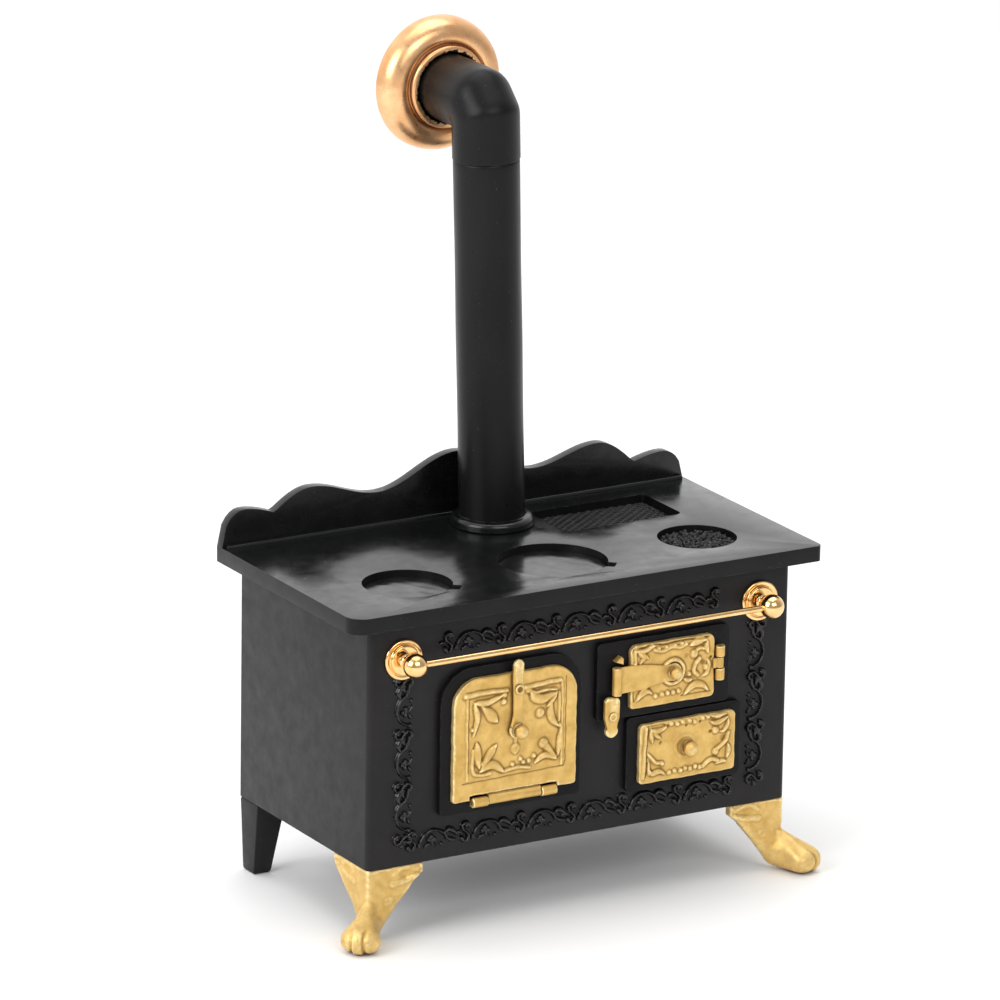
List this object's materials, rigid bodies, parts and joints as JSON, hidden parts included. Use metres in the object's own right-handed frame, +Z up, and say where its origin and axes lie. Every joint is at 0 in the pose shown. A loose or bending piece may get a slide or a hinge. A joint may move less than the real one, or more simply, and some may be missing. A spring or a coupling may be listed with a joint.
{
  "type": "dolls house kitchen range",
  "caption": "Miniature cast kitchen range: four feet, hob with wells and scalloped back board, gilt opening doors, towel rail, and a flue that elbows back into a wall rosette.",
  "frame": {"origin": "on the floor, under the middle of the whole object's box", "axes": "+X to the range's right, +Y back to the wall, +Z up"},
  "size_m": [0.102, 0.0634, 0.1581],
  "materials": {
    "black_satin": "satin black paint on cast resin",
    "black_gloss": "glossy black enamel",
    "coal": "rough black",
    "dark_iron": "dark, as cast",
    "gilt_paint": "matte metallic gold paint",
    "polished_brass": "polished warm gold plate",
    "copper": "satin copper paint"
  },
  "bodies": {
    "range_body": {"body": "black_satin", "hob_plate": "black_gloss", "back_board": "black_gloss", "coal_bed": "coal", "griddle_grate": "black_gloss", "flue_collar": "black_gloss", "flue_pipe": "black_gloss", "flue_elbow": "black_gloss", "wall_rosette": "copper", "rail_rod": "polished_brass", "rail_rose_left": "polished_brass", "rail_rose_right": "polished_brass", "rail_post_left": "polished_brass", "rail_post_right": "polished_brass", "front_foot_left": "gilt_paint", "front_foot_right": "gilt_paint", "rear_foot_left": "black_satin", "rear_foot_right": "black_satin", "frieze_top": "black_satin", "frieze_bottom": "black_satin", "frieze_left": "black_satin", "frieze_right": "black_satin", "oven_surround": "black_satin", "oven_hinge_brackets": "gilt_paint", "oven_hinge_pin": "gilt_paint", "firebox_surround": "black_satin", "firebox_hinge_brackets": "gilt_paint", "firebox_hinge_pin": "gilt_paint", "strap_keeper": "gilt_paint", "turn_catch_pin": "gilt_paint", "ash_surround": "black_satin", "fire_grate": "dark_iron"},
    "oven_door": {"oven_door": "gilt_paint", "oven_latch_rivet": "gilt_paint"},
    "oven_latch": {"oven_latch_bar": "gilt_paint", "oven_knob": "gilt_paint"},
    "firebox_door": {"firebox_door": "gilt_paint", "firebox_strap": "gilt_paint", "firebox_knob": "gilt_paint"},
    "turn_catch": {"turn_catch": "gilt_paint"},
    "ash_drawer": {"ash_drawer_front": "gilt_paint", "ash_tray": "dark_iron", "ash_knob": "gilt_paint"},
    "lid_left": {"lid_left": "black_gloss"},
    "lid_centre": {"lid_centre": "black_gloss"}
  },
  "joints": [
    {"name": "oven_door_drop", "type": "hinge", "parent": "range_body", "child": "oven_door", "pos_m": [-0.0153, -0.027, 0.025], "axis": [1, 0, 0], "range_deg": [0, 90]},
    {"name": "oven_latch_turn", "type": "hinge", "parent": "oven_door", "child": "oven_latch", "pos_m": [-0.0153, -0.0278, 0.0459], "axis": [0, 1, 0], "range_deg": [-30, 30]},
    {"name": "firebox_door_swing", "type": "hinge", "parent": "range_body", "child": "firebox_door", "pos_m": [0.0285, -0.027, 0.0441], "axis": [0, 0, 1], "range_deg": [0, 105]},
    {"name": "turn_catch_turn", "type": "hinge", "parent": "range_body", "child": "turn_catch", "pos_m": [0.005, -0.0275, 0.0373], "axis": [0, 1, 0], "range_deg": [0, 90]},
    {"name": "ash_drawer_slide", "type": "slide", "parent": "range_body", "child": "ash_drawer", "axis": [0, -1, 0], "range_m": [0, 0.022]},
    {"name": "lid_left_lift", "type": "slide", "parent": "range_body", "child": "lid_left", "axis": [0, 0, 1], "range_m": [0, 0.006]},
    {"name": "lid_centre_lift", "type": "slide", "parent": "range_body", "child": "lid_centre", "axis": [0, 0, 1], "range_m": [0, 0.006]}
  ]
}
